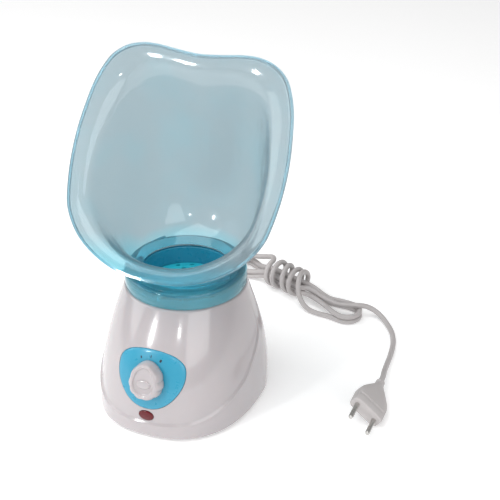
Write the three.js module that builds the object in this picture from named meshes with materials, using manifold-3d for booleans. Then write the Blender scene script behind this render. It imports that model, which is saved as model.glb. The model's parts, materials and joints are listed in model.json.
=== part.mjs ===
// Facial steamer: a white base with a turn knob and a water vessel inside, a clear blue face hood
// that sits on the base's neck, and a mains cord tied in a hank. Millimetres, +Z up, front is -Y.
// Heights count from the table. The hood's turning axis is the local Z axis until the last step,
// which moves the whole object so that its footprint is centred on the origin.
import * as THREE from 'three';
import Module from 'manifold-3d';

const wasm = await Module();
wasm.setup();

// ---- driving dimensions ----
const GAP = 0.3;

// base housing: a rounded-square foot that tapers to a round collar
const BASE = {
  bottom: 2.3, collarTop: 103, halfWidth: 66, front: 85, back: 54,
  squareness: 2.45, collarRadius: 50.7, taper: 1.78, bulge: 2.5, edgeRadius: 2.2,
};
const SKIRT_STEP = 0.9;
const WALL = 3.4;
const NECK = { radius: 48.2, innerRadius: 45.8, top: 111, deck: 2.4, opening: 38 };

// control panel, knob and lamp on the front
const PANEL = { recess: 1.6, floor: 1.3, holeRadius: 5.2 };
const KNOB = { height: 50.5, tilt: 18, radius: 12.8, lobe: 0.8, lobes: 10, pointer: 4.6, thickness: 10.5 };
const LENS = { height: 21.6, halfWidth: 6.5, halfHeight: 4.3, proud: 1.2, depth: 4 };

// water vessel, heater and lid
const VESSEL = { radius: 37.5, wall: 1.5, ledge: 96.5, lowerRadius: 34, bottom: 50, flange: 45 };
const PLATE = { radius: 31, bottom: 44.5, top: 49.6 };
const BRACKET = { radius: 44, bottom: 41, top: 42.3, hole: 14, postRing: 38 };
const LID = { radius: 35.4, top: 103, wall: 1.6 };

// hood: a skirt over the neck, and a bowl that opens to a tilted rim with a wide flange
const HOOD = {
  skirtBottom: 103.4, skirtTop: 117.4, plate: 2, ring: 36.2, skirtRadius: 50.7, skirtWall: 1.7,
  wall: 2.2, rimTilt: 35, rimY: -37.4, rimZ: 178, rimCentre: 42, flangeScale: 0.75, flangeDepth: 12,
};

// cord and plug
const CORD = { radius: 2.45, exitX: 0, exitY: 55.6, exitZ: 12 };
const HANK = { x: 103, y: 145.5, angle: -20.8, right: -6.5, left: -139.3, halfWidth: 14.75, height: 14.8 };
const WRAPS = { from: -103, to: -58, halfWidth: 15, top: 28.7 };
const PLUG = {
  neckX: 160.6, neckY: 39.9, neckZ: 13.4, roll: -40, neck: 12, length: 34, width: 30, thickness: 13,
  pinRadius: 2, pinLength: 19, pinSpacing: 19,
};

const TAU = Math.PI * 2;
const rad = (degrees) => degrees * Math.PI / 180;

// ---- colours ----
const colour = (r, g, b) => new THREE.Color().setRGB(r, g, b, THREE.SRGBColorSpace);
const material = (r, g, b, roughness, metalness = 0, extra = {}) =>
  new THREE.MeshStandardMaterial({ color: colour(r, g, b), roughness, metalness, ...extra });
const MATERIALS = {
  white: material(0.91, 0.89, 0.90, 0.25),
  panelBlue: material(0.29, 0.70, 0.84, 0.3),
  hoodBlue: material(0.55, 0.80, 0.88, 0.15, 0, { transparent: true, opacity: 0.5 }),
  teal: material(0.20, 0.58, 0.68, 0.4),
  lensRed: material(0.43, 0.07, 0.15, 0.2),
  clear: material(0.85, 0.85, 0.80, 0.1),
  steel: material(0.72, 0.72, 0.72, 0.35, 1),
  brass: material(0.75, 0.62, 0.33, 0.35, 1),
  grey: material(0.55, 0.55, 0.55, 0.6),
  black: material(0.12, 0.12, 0.12, 0.6),
  rubber: material(0.25, 0.25, 0.25, 0.8),
  seal: material(0.85, 0.85, 0.83, 0.7),
  cord: material(0.76, 0.74, 0.73, 0.55),
  wireRed: material(0.70, 0.15, 0.12, 0.5),
  wireBlue: material(0.15, 0.30, 0.65, 0.5),
};

// ---- solid helpers ----
function indexedFrom(points, triangles) {
  const geometry = new THREE.BufferGeometry();
  geometry.setAttribute('position', new THREE.Float32BufferAttribute(points.flat(), 3));
  geometry.setIndex(triangles.flat());
  return geometry;
}

function toManifold(geometry) {
  const source = geometry.index ? geometry.toNonIndexed() : geometry;
  const position = source.getAttribute('position');
  const seen = new Map();
  const vertices = [];
  const corners = [];
  for (let i = 0; i < position.count; i += 1) {
    const p = [position.getX(i), position.getY(i), position.getZ(i)];
    const key = p.map((v) => Math.round(v * 1e4)).join(',');
    if (!seen.has(key)) {
      seen.set(key, seen.size);
      vertices.push(...p);
    }
    corners.push(seen.get(key));
  }
  const kept = [];
  for (let i = 0; i < corners.length; i += 3) {
    const [a, b, c] = corners.slice(i, i + 3);
    if (a !== b && b !== c && a !== c) kept.push(a, b, c);
  }
  return new wasm.Manifold(new wasm.Mesh({
    numProp: 3,
    vertProperties: new Float32Array(vertices),
    triVerts: new Uint32Array(kept),
  }));
}

function fromManifold(solid) {
  const mesh = solid.getMesh();
  const geometry = new THREE.BufferGeometry();
  const points = [];
  for (let i = 0; i < mesh.numVert; i += 1) {
    points.push(...mesh.vertProperties.slice(i * mesh.numProp, i * mesh.numProp + 3));
  }
  geometry.setAttribute('position', new THREE.Float32BufferAttribute(points, 3));
  geometry.setIndex(Array.from(mesh.triVerts));
  return geometry;
}

// Closed solid through a stack of rings with equal point counts, closed by a fan at each end.
function loft(rings) {
  const count = rings[0].length;
  const points = rings.flat();
  const triangles = [];
  for (let r = 0; r + 1 < rings.length; r += 1) {
    for (let i = 0; i < count; i += 1) {
      const a = r * count + i;
      const b = r * count + (i + 1) % count;
      triangles.push([a, b, b + count], [a, b + count, a + count]);
    }
  }
  const centre = (ring) => [0, 1, 2].map((k) => ring.reduce((sum, p) => sum + p[k], 0) / count);
  const first = points.push(centre(rings[0])) - 1;
  const last = points.push(centre(rings.at(-1))) - 1;
  const base = (rings.length - 1) * count;
  for (let i = 0; i < count; i += 1) {
    const next = (i + 1) % count;
    triangles.push([first, next, i], [last, base + i, base + next]);
  }
  return toManifold(indexedFrom(points, triangles));
}

// Solid of revolution about Z from [radius, height] points.
function turned(profile, segments = 48) {
  const points = profile.map(([r, z]) => new THREE.Vector2(r, z));
  const onAxis = profile[0][0] === 0 && profile.at(-1)[0] === 0;
  if (!onAxis) points.push(points[0].clone());
  const geometry = new THREE.LatheGeometry(points, segments).rotateX(Math.PI / 2);
  const solid = toManifold(geometry);
  return solid.volume() > 0 ? solid : toManifold(indexedFromFlipped(geometry));
}

function indexedFromFlipped(geometry) {
  const flipped = geometry.clone();
  const index = Array.from(flipped.index.array);
  for (let i = 0; i < index.length; i += 3) {
    [index[i], index[i + 1]] = [index[i + 1], index[i]];
  }
  flipped.setIndex(index);
  return flipped;
}

const cylinder = (radius, low, high, segments = 20) =>
  turned([[0, low], [radius, low], [radius, high], [0, high]], segments);

function block(low, high) {
  const size = high.map((v, k) => v - low[k]);
  const geometry = new THREE.BoxGeometry(...size);
  geometry.translate(...low.map((v, k) => v + size[k] / 2));
  return toManifold(geometry);
}

// Solid with a flat outline, standing from depth 0 along +Z.
function prism(outline, depth) {
  const shape = new THREE.Shape(outline.map(([x, y]) => new THREE.Vector2(x, y)));
  return toManifold(new THREE.ExtrudeGeometry(shape, { depth, bevelEnabled: false, steps: 1 }));
}

function moved(solid, x, y, z) {
  return solid.translate([x, y, z]);
}

// Tube along a smooth curve through the listed points. A full arc takes two points per curve segment.
const TUBE_SIDES = 10;
function tube(points, radius, steps) {
  const curve = new THREE.CatmullRomCurve3(points.map((p) => new THREE.Vector3(...p)), false, 'centripetal');
  const circle = new THREE.Shape();
  circle.absarc(0, 0, radius, 0, TAU, false);
  const geometry = new THREE.ExtrudeGeometry(circle, {
    steps, curveSegments: TUBE_SIDES / 2, extrudePath: curve, bevelEnabled: false,
  });
  return toManifold(geometry);
}

// Closed smooth outline through points given for x >= 0, mirrored to x < 0.
function mirroredOutline(half, count) {
  const inner = half.filter(([x]) => x > 0);
  const other = [...inner].reverse().map(([x, y]) => [-x, y]);
  const loop = [...half, ...other].map(([x, y]) => new THREE.Vector3(x, y, 0));
  const curve = new THREE.CatmullRomCurve3(loop, true, 'centripetal');
  return curve.getSpacedPoints(count).slice(0, count).map((p) => [p.x, p.y]);
}

const oval = (halfWidth, halfHeight, count = 32) => Array.from({ length: count }, (_, i) => {
  const angle = TAU * i / count;
  return [halfWidth * Math.cos(angle), halfHeight * Math.sin(angle)];
});

// ---- base housing ----
function baseRadius(angle, height, inset) {
  const t = Math.min(Math.max((height - BASE.bottom) / (BASE.collarTop - BASE.bottom), 0), 1);
  const shrink = t ** BASE.taper;
  const bulge = BASE.bulge * Math.sin(Math.PI * t);
  const reach = (start) => start + (BASE.collarRadius - start) * shrink + bulge - inset;
  const power = BASE.squareness + (2 - BASE.squareness) * t;
  const across = Math.abs(Math.cos(angle) / reach(BASE.halfWidth)) ** power;
  const along = Math.abs(Math.sin(angle) / reach(Math.sin(angle) < 0 ? BASE.front : BASE.back)) ** power;
  return (across + along) ** (-1 / power);
}

function baseRing(height, inset, segments = 60) {
  return Array.from({ length: segments }, (_, i) => {
    const angle = TAU * i / segments;
    const radius = baseRadius(angle, height, inset);
    return [radius * Math.cos(angle), radius * Math.sin(angle), height];
  });
}

const BASE_HEIGHTS = [16, 29, 42, 55, 68, 81, 93];

// The whole outer form. Above the middle its inset runs over to topInset.
function baseBody(inset, topInset = inset) {
  const edge = BASE.edgeRadius;
  const rounded = [90, 60, 30, 0].map((degrees) => {
    const lift = edge * (1 - Math.sin(rad(degrees)));
    return baseRing(BASE.bottom + lift, inset + edge * (1 - Math.cos(rad(degrees))));
  });
  const sides = BASE_HEIGHTS.map((height) => {
    const blend = THREE.MathUtils.smoothstep(height, 50, 93);
    return baseRing(height, inset + (topInset - inset) * blend);
  });
  return loft([...rounded, ...sides, baseRing(BASE.collarTop - 0.6, topInset), baseRing(BASE.collarTop, topInset + 0.6)]);
}

function baseHollow(inset, top) {
  const heights = [BASE.bottom - 1, ...BASE_HEIGHTS.filter((height) => height < top), top];
  return loft(heights.map((height) => baseRing(height, inset, 48)));
}

// The front shield in side view: below and behind this sweep the base's skirt stands one step proud.
function shieldRegion() {
  const sweep = [[-100, 12.5], [-77, 17.4], [-61, 23], [-40, 32.5], [-27, 39], [-16, 47.5], [-3, 57.5], [4.5, 66], [6, 80], [4, 104]];
  const curve = new THREE.SplineCurve(sweep.map(([y, z]) => new THREE.Vector2(y, z)));
  const outline = [...curve.getPoints(30).map((p) => [p.x, p.y]), [-100, 104]];
  return prism(outline, 160).rotate([90, 0, 90]).translate([-80, 0, 0]);
}

const PANEL_HALF = [
  [0, 27.8], [8, 28.8], [16.5, 33], [23.5, 40], [28, 48], [29.5, 56.5], [27.6, 64.5], [20.5, 70.8], [10, 74.2], [0, 75],
];

function panelPrism(inset) {
  const centre = 53;
  const outline = mirroredOutline(PANEL_HALF, 56).map(([x, z]) => {
    const length = Math.hypot(x, z - centre);
    const scale = (length - inset) / length;
    return [x * scale, centre + (z - centre) * scale];
  });
  return prism(outline, 60).rotate([90, 0, 0]).translate([0, -50, 0]);
}

const frontY = (height) => -baseRadius(-Math.PI / 2, height, 0);

// Place a solid made along +Z so that it stands out from the front at the knob's axis.
function onKnobAxis(solid) {
  return moved(solid.rotate([90 - KNOB.tilt, 0, 0]), 0, frontY(KNOB.height), KNOB.height);
}

function onFront(solid, height) {
  return moved(solid.rotate([90, 0, 0]), 0, frontY(height), height);
}

const COVER_SCREWS = [[-55, -28], [55, -28], [-38, 38], [38, 38]];
const FEET = [[-34, -56], [34, -56], [-40, 24], [40, 24]];
const POSTS = [0, 1, 2].map((i) => {
  const angle = rad(30 + 120 * i);
  return [BRACKET.postRing * Math.cos(angle), BRACKET.postRing * Math.sin(angle)];
});

function baseHousing() {
  const outer = baseBody(0).add(baseBody(-SKIRT_STEP, 0).subtract(shieldRegion()));
  const neck = cylinder(NECK.radius, BASE.collarTop - 8, NECK.top, 60);
  const neckHollow = cylinder(NECK.innerRadius, BASE.collarTop - 8, NECK.top - NECK.deck, 48);
  let housing = outer.add(neck).subtract(baseHollow(WALL, BASE.collarTop - 5)).subtract(neckHollow);
  COVER_SCREWS.forEach(([x, y]) => {
    const web = block([0, -1.5, 5.2], [16, 1.5, 30]).rotate([0, 0, THREE.MathUtils.radToDeg(Math.atan2(y, x))]);
    const boss = moved(cylinder(4.6, 5.2, 30, 16).add(web), x, y, 0);
    housing = housing.add(boss.intersect(baseBody(WALL / 2)));
  });
  const cuts = [
    cylinder(NECK.opening, NECK.top - 10, NECK.top + 1, 48),
    panelPrism(0).subtract(baseBody(PANEL.recess)),
    onKnobAxis(cylinder(PANEL.holeRadius, -12, 5)),
    onFront(prism(oval(LENS.halfWidth + GAP, LENS.halfHeight + GAP), 30), LENS.height).translate([0, 15, 0]),
    moved(cylinder(5.3, 0, 20).rotate([-90, 0, 0]), CORD.exitX, CORD.exitY - 12, CORD.exitZ),
    ...COVER_SCREWS.map(([x, y]) => moved(cylinder(1.7, 4, 20, 12), x, y, 0)),
  ];
  cuts.forEach((cut) => { housing = housing.subtract(cut); });
  return housing;
}

function bottomCover() {
  const low = BASE.bottom;
  const inset = WALL + GAP;
  let cover = loft([baseRing(low, inset + 0.4, 48), baseRing(low + 2, inset + 0.4, 48)]);
  POSTS.forEach(([x, y]) => {
    cover = cover.add(moved(cylinder(4, low + 1, BRACKET.bottom - GAP, 16), x, y, 0));
  });
  POSTS.forEach(([x, y]) => {
    cover = cover.subtract(moved(cylinder(1.7, 26, 60, 12), x, y, 0));
  });
  COVER_SCREWS.forEach(([x, y]) => {
    const hole = cylinder(1.7, low - 1, low + 3, 12).add(cylinder(3.4, low - 1, low + 1.2, 16));
    cover = cover.subtract(moved(hole, x, y, 0));
  });
  return cover;
}

const foot = ([x, y]) => moved(turned([[0, 0], [6.4, 0], [7, 0.6], [7, 2], [0, 2]], 24), x, y, 0);

function coverScrew([x, y]) {
  const head = BASE.bottom;
  return moved(turned([[0, head], [3, head], [3, head + 0.9], [1.4, head + 0.9], [1.4, 16], [0, 16]], 16), x, y, 0);
}

// ---- front controls ----
function controlPanel() {
  let panel = panelPrism(GAP).intersect(baseBody(0)).subtract(baseBody(PANEL.floor));
  panel = panel.subtract(onKnobAxis(cylinder(PANEL.holeRadius, -12, 5)));
  const dot = cylinder(0.9, -6, 6, 12).rotate([90, 0, 0]);
  [-26, 0, 26].forEach((degrees) => {
    const x = 19.4 * Math.sin(rad(degrees));
    const z = KNOB.height + 19.4 * Math.cos(rad(degrees));
    const dimple = moved(dot, x, frontY(z), z).subtract(baseBody(0.5));
    panel = panel.subtract(dimple);
  });
  return panel;
}

function knobOutline(grow) {
  return Array.from({ length: 60 }, (_, i) => {
    const angle = TAU * i / 60;
    const fromTop = Math.abs(((angle - Math.PI / 2 + Math.PI) % TAU) - Math.PI);
    const scallop = KNOB.lobe * Math.abs(Math.cos(angle * KNOB.lobes / 2));
    const pointer = KNOB.pointer * Math.exp(-((fromTop / 0.34) ** 2));
    const radius = KNOB.radius + scallop + pointer + grow;
    return [radius * Math.cos(angle), radius * Math.sin(angle)];
  });
}

function selectorKnob() {
  const levels = [[0.4, 0.4], [1.2, 1], [4.5, 0.6], [8, -0.6], [9.8, -1.3], [KNOB.thickness, -2.3]];
  const body = loft(levels.map(([height, grow]) => knobOutline(grow).map(([x, y]) => [x, y, height])));
  const hollow = cylinder(9.2, -1, 4.2);
  const bore = cylinder(3.3, 0, 8.4, 20);
  const dish = cylinder(9, KNOB.thickness - 1.3, KNOB.thickness + 1, 32);
  return onKnobAxis(body.subtract(hollow).subtract(bore).subtract(dish));
}

const knobInsert = () => {
  const low = KNOB.thickness - 1.3 + GAP;
  return onKnobAxis(turned([[0, low], [8.6, low], [8.6, low + 0.5], [8.2, low + 0.8], [0, low + 0.8]], 32));
};
const switchShaft = () => onKnobAxis(cylinder(3, -11, 8, 20));

function rotarySwitch() {
  const body = block([-10, -10, -20], [10, 10, -6.2]).add(cylinder(4.6, -7, -0.4));
  return onKnobAxis(body.subtract(cylinder(3.3, -12, 1, 20)));
}

const switchNut = () => onKnobAxis(cylinder(7, 0.6, 2.8, 6).subtract(cylinder(3.4, 0, 4, 20)));

function indicatorLens() {
  const levels = [[-LENS.depth, 0], [0.4, 0], [0.9, -0.7], [LENS.proud, -2]];
  const rings = levels.map(([height, grow]) =>
    oval(LENS.halfWidth + grow, LENS.halfHeight + grow).map(([x, y]) => [x, y, height]));
  return onFront(loft(rings), LENS.height);
}

const indicatorLamp = () => onFront(
  turned([[0, -20], [2.2, -20], [2.4, -19], [2.4, -7.4], [1.5, -5.4], [0, -4.6]], 16), LENS.height);

function lampHolder() {
  const y = frontY(LENS.height);
  const post = block([-5, y + 10, BASE.bottom + 2 + GAP], [5, y + 18, LENS.height + 5]);
  return post.subtract(onFront(cylinder(2.7, -30, 0, 16), LENS.height));
}

// ---- water vessel, heater and lid ----
function waterVessel() {
  const v = VESSEL;
  const top = NECK.top + GAP;
  return turned([
    [0, v.bottom], [v.lowerRadius - 3, v.bottom], [v.lowerRadius, v.bottom + 3], [v.lowerRadius, v.ledge - 1.6],
    [v.radius, v.ledge - 1.6], [v.radius, top], [v.flange, top], [v.flange, top + v.wall], [v.radius - v.wall, top + v.wall],
    [v.radius - v.wall, v.ledge], [v.lowerRadius - v.wall, v.ledge], [v.lowerRadius - v.wall, v.bottom + 4],
    [v.lowerRadius - 4, v.bottom + v.wall], [0, v.bottom + v.wall],
  ], 48);
}

const heatingPlate = () => turned(
  [[0, PLATE.bottom], [PLATE.radius - 1, PLATE.bottom], [PLATE.radius, PLATE.bottom + 1], [PLATE.radius, PLATE.top], [0, PLATE.top]]);
const plateInsulator = () => turned([[20, 42.6], [29, 42.6], [29, 44.2], [20, 44.2]]);

function heaterBracket() {
  const plate = cylinder(BRACKET.radius, BRACKET.bottom, BRACKET.top, 48).subtract(cylinder(BRACKET.hole, 40, 44));
  return POSTS.reduce((left, [x, y]) => left.subtract(moved(cylinder(1.7, 40, 44, 12), x, y, 0)), plate);
}

const bracketScrew = ([x, y]) => moved(
  turned([[0, 30], [1.4, 30], [1.4, BRACKET.top + GAP], [3, BRACKET.top + GAP], [3, 44.2], [0, 44.2]], 12), x, y, 0);
const heatShield = () => turned([[42.6, 42.6], [43.6, 42.6], [43.6, 86], [42.6, 86]]);
const thermostat = () => turned([[0, 36], [3, 36], [3, 39], [7.6, 39], [7.6, 44.2], [0, 44.2]], 24);
const thermalFuse = () => moved(cylinder(1.5, -5, 5, 12).rotate([90, 0, 0]), 10.6, 0, 42.6);
const heaterTerminal = (y) => block([-11, y - 1.5, 35], [-10, y + 1.5, 44.2]);

function chamberLid() {
  const [r, top] = [LID.radius, LID.top];
  const shell = turned([
    [0, top], [14, top - 0.4], [24, top - 1.4], [31, top - 3], [33.4, top - 4.6], [r, top - 4.8], [r, 96.9],
    [33, 96.9], [32.2, top - 4.8], [30, top - 4.6], [23.4, top - 3], [14, top - 2], [0, top - LID.wall],
  ]);
  const rows = [[27.2, 14, 1.9], [18.6, 9, 1.9], [9, 5, 1.6]];
  return rows.reduce((whole, [ring, count, hole]) => {
    let left = whole;
    for (let i = 0; i < count; i += 1) {
      const angle = TAU * i / count;
      left = left.subtract(moved(cylinder(hole, 90, 110, 8), ring * Math.cos(angle), ring * Math.sin(angle), 0));
    }
    return left;
  }, shell);
}

// ---- hood ----
const hoodSeal = () => turned([[38, 113.1], [44, 113.1], [44, 115.1], [38, 115.1]]);

const RIM_HALF = [
  [0, -50.5], [17, -49.5], [34, -45.5], [52.5, -37], [67, -26.5], [77, -14.5], [83, -3], [86.2, 11], [88.4, 28], [89.2, 46],
  [88.6, 62], [86.8, 78], [84, 95], [79.6, 109], [73, 121.5], [62.5, 130], [50, 133.8], [38, 134.2], [18, 132], [0, 130.6],
];
const HOOD_STEPS = 60;
const BOWL_ROWS = 9;

const OPENING = new THREE.Vector3(0, -Math.cos(rad(HOOD.rimTilt)), Math.sin(rad(HOOD.rimTilt)));
const UPHILL = new THREE.Vector3(0, Math.sin(rad(HOOD.rimTilt)), Math.cos(rad(HOOD.rimTilt)));

function onRimPlane(x, s, depth) {
  const point = new THREE.Vector3(x, HOOD.rimY, HOOD.rimZ);
  return point.addScaledVector(UPHILL, s).addScaledVector(OPENING, -depth);
}

// One strand of the hood's middle surface, from the ring on the base to the rolled lip.
function hoodStrand(index, rim) {
  const angle = TAU * index / HOOD_STEPS - Math.PI / 2;
  const toBack = (1 + Math.sin(angle)) / 2;
  const outward = new THREE.Vector3(Math.cos(angle), Math.sin(angle), 0);
  const ring = outward.clone().multiplyScalar(HOOD.ring + HOOD.wall / 2);
  ring.z = HOOD.skirtTop - HOOD.plate / 2;
  const [x, s] = rim[index];
  const inner = onRimPlane(x * HOOD.flangeScale, HOOD.rimCentre + (s - HOOD.rimCentre) * HOOD.flangeScale, HOOD.flangeDepth);
  const edge = onRimPlane(x, s, 0);
  const leaving = ring.clone().addScaledVector(outward, 4 + 41 * toBack);
  leaving.z += 4 + 16 * toBack;
  const arriving = inner.clone().addScaledVector(OPENING, -14 - 38 * toBack);
  const bowl = new THREE.CubicBezierCurve3(ring, leaving, arriving, inner).getPoints(BOWL_ROWS);
  const outwardOnPlane = edge.clone().sub(onRimPlane(0, HOOD.rimCentre, 0)).normalize();
  const start = inner.clone().addScaledVector(OPENING, 8);
  const end = edge.clone().addScaledVector(outwardOnPlane, -9);
  const flange = new THREE.CubicBezierCurve3(inner, start, end, edge).getPoints(5).slice(1);
  const lip = edge.clone().addScaledVector(OPENING, -2.6);
  return [...bowl, ...flange, lip];
}

function hoodBowl() {
  const rim = mirroredOutline(RIM_HALF, HOOD_STEPS);
  const strands = rim.map((_, index) => hoodStrand(index, rim));
  const rows = strands[0].length;
  const at = (i, j) => strands[(i + HOOD_STEPS) % HOOD_STEPS][Math.min(Math.max(j, 0), rows - 1)];
  const offset = (i, j, side) => {
    const around = at(i + 1, j).clone().sub(at(i - 1, j));
    const along = at(i, j + 1).clone().sub(at(i, j - 1));
    const normal = around.cross(along).normalize();
    return at(i, j).clone().addScaledVector(normal, side * HOOD.wall / 2).toArray();
  };
  const ringOf = (j, side) => strands.map((_, i) => offset(i, j, side));
  const outside = Array.from({ length: rows }, (_, j) => ringOf(j, 1));
  const inside = Array.from({ length: rows }, (_, j) => ringOf(j, -1)).reverse();
  const rings = [...outside, ...inside];
  const points = rings.flat();
  const triangles = [];
  rings.forEach((_, r) => {
    for (let i = 0; i < HOOD_STEPS; i += 1) {
      const a = r * HOOD_STEPS + i;
      const b = r * HOOD_STEPS + (i + 1) % HOOD_STEPS;
      const up = HOOD_STEPS * (r + 1 < rings.length ? 1 : 1 - rings.length);
      triangles.push([a, b, b + up], [a, b + up, a + up]);
    }
  });
  return toManifold(indexedFrom(points, triangles));
}

function steamHood() {
  const { skirtRadius, skirtWall, skirtBottom, skirtTop, plate, ring } = HOOD;
  const skirt = turned([
    [skirtRadius - skirtWall, skirtBottom], [skirtRadius, skirtBottom], [skirtRadius, skirtTop - 3],
    [skirtRadius - 1, skirtTop - 0.9], [skirtRadius - 3, skirtTop], [ring, skirtTop], [ring, skirtTop - plate],
    [skirtRadius - skirtWall, skirtTop - plate],
  ], HOOD_STEPS);
  return skirt.add(hoodBowl());
}

// ---- wiring and cord inside the base ----
function strainRelief() {
  const profile = [[2.8, -8], [6.4, -8], [6.4, -6], [5, -6], [5, 0.4], [6.2, 0.4], [6.2, 2.4], [4.6, 3.4], [3.9, 15], [2.8, 15]];
  return moved(turned(profile, 20).rotate([-90, 0, 0]), CORD.exitX, CORD.exitY, CORD.exitZ);
}

function cordClamp() {
  const floor = BASE.bottom + 2 + GAP;
  const bar = block([-12, 30, floor], [12, 37, 17]);
  const tunnel = block([-3, 29, floor - 1], [3, 38, CORD.exitZ + 3]);
  const holes = [-8, 8].map((x) => moved(cylinder(1.6, floor - 1, 20, 12), x, 33.5, 0));
  return holes.reduce((left, hole) => left.subtract(hole), bar.subtract(tunnel));
}

const clampScrew = (x) => moved(
  turned([[0, 5.2], [1.3, 5.2], [1.3, 17.3], [2.8, 17.3], [2.8, 19], [0, 19]], 12), x, 33.5, 0);

function terminalBlock() {
  let body = block([-26, -14, BASE.bottom + 2 + GAP], [-14, 14, 15]);
  [-8, 0, 8].forEach((y) => {
    body = body.subtract(moved(cylinder(2, 10, 20, 12), -20, y, 0));
  });
  return body;
}

const switchWire = () => tube(
  [[-27.2, -8, 10], [-38, -16, 13], [-46, -30, 22], [-34, -48, 34], [-20, -54, 42], [-12.5, -58, 45]], 0.9, 26);
const heaterWire = () => tube([[-12.8, 6, 10], [-11, 5, 18], [-10.5, 4, 26], [-10.5, 4, 34]], 0.9, 14);
const lampWire = () => tube([[-20, -15.4, 9], [-14, -25, 8], [-8, -40, 10], [0, -54, 17], [0, -62.4, 21.6]], 0.9, 20);

// ---- cord outside, hank and plug ----
const FLOOR_CORD = CORD.radius + GAP;
const HANK_DIRECTION = [Math.cos(rad(HANK.angle)), Math.sin(rad(HANK.angle))];

function besideHank(along, across, height) {
  const [ux, uy] = HANK_DIRECTION;
  return [HANK.x + ux * along - uy * across, HANK.y + uy * along + ux * across, height];
}

// The lead leaves the base level, drops to the table and turns back into the hank's near end.
const cordLead = () => tube([
  ...[25, 40, 56, 72].map((y) => [CORD.exitX, y, CORD.exitZ]),
  [-2, 86, 10], [-7, 100, 5.5], [-14, 113, 3.2], [-24, 128, FLOOR_CORD], [-38, 146, FLOOR_CORD],
  ...[[-154, -40], [-167, -35], [-173.5, -23], [-169, -7], [-155.2, 0]].map(
    ([along, across]) => besideHank(along, across, FLOOR_CORD)),
], CORD.radius, 44);

// The folded runs as one flat bar, with the turns wrapped round its middle as a barrel.
function cordHank() {
  const outline = [];
  [[HANK.right, -90], [HANK.left, 90]].forEach(([along, from]) => {
    for (let i = 0; i <= 10; i += 1) {
      const angle = rad(from + 18 * i);
      outline.push([along + HANK.halfWidth * Math.cos(angle), HANK.halfWidth * Math.sin(angle)]);
    }
  });
  const halfHeight = (WRAPS.top - 0.1) / 2;
  const barrel = prism(oval(WRAPS.halfWidth, halfHeight), WRAPS.to - WRAPS.from).rotate([90, 0, 90]);
  const bar = prism(outline, HANK.height).add(moved(barrel, WRAPS.from, 0, halfHeight));
  return moved(bar.rotate([0, 0, HANK.angle]), HANK.x, HANK.y, 0.1);
}

const cordTail = () => tube([
  besideHank(5.5, 15.4, 11), [116.2, 159, 9.6], [123, 156.5, 7], [131.3, 152, 4], [138.6, 143.9, FLOOR_CORD],
  [144.6, 134.4, FLOOR_CORD], [149, 123.6, FLOOR_CORD], [151.5, 114, FLOOR_CORD], [153.3, 102.9, 3.5],
  [154.9, 90.1, 5], [156.2, 76.7, 7], [158, 61.6, 10.2], [159.8, 51, 12.6], [160.5, 45, 13.3],
  [PLUG.neckX, PLUG.neckY, PLUG.neckZ],
], CORD.radius, 30);

// Plug pieces are made with their axis along +Z, wide across X, then laid down rolled on one edge.
function layPlug(solid) {
  return moved(solid.rotate([0, 0, PLUG.roll]).rotate([90, 0, 0]), PLUG.neckX, PLUG.neckY, PLUG.neckZ);
}

function roundedBox(halfWidth, halfDepth, height) {
  return Array.from({ length: 28 }, (_, i) => {
    const angle = TAU * i / 28;
    const c = Math.cos(angle);
    const s = Math.sin(angle);
    return [halfWidth * Math.sign(c) * Math.abs(c) ** 0.5, halfDepth * Math.sign(s) * Math.abs(s) ** 0.5, height];
  });
}

function plugBody() {
  const half = PLUG.thickness / 2;
  const wide = PLUG.width / 2;
  const front = PLUG.length + PLUG.neck;
  const sections = [
    [3.8, 3.8, 0.3], [4.2, 4.2, 7], [6, 5, 11], [9, 5.8, 17], [wide - 2.5, half - 0.3, 24], [wide - 0.3, half, 29],
    [wide, half, 32], [wide, half, front - 1.4], [wide - 1.4, half - 1.4, front],
  ];
  return layPlug(loft(sections.map(([a, b, height]) => roundedBox(a, b, height))));
}

const plugPin = (side) => {
  const start = PLUG.length + PLUG.neck + GAP;
  const end = start + PLUG.pinLength;
  const profile = [[0, start], [PLUG.pinRadius, start], [PLUG.pinRadius, end - 1], [1.2, end], [0, end]];
  return layPlug(moved(turned(profile, 14), side * PLUG.pinSpacing / 2, 0, 0));
};

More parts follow.
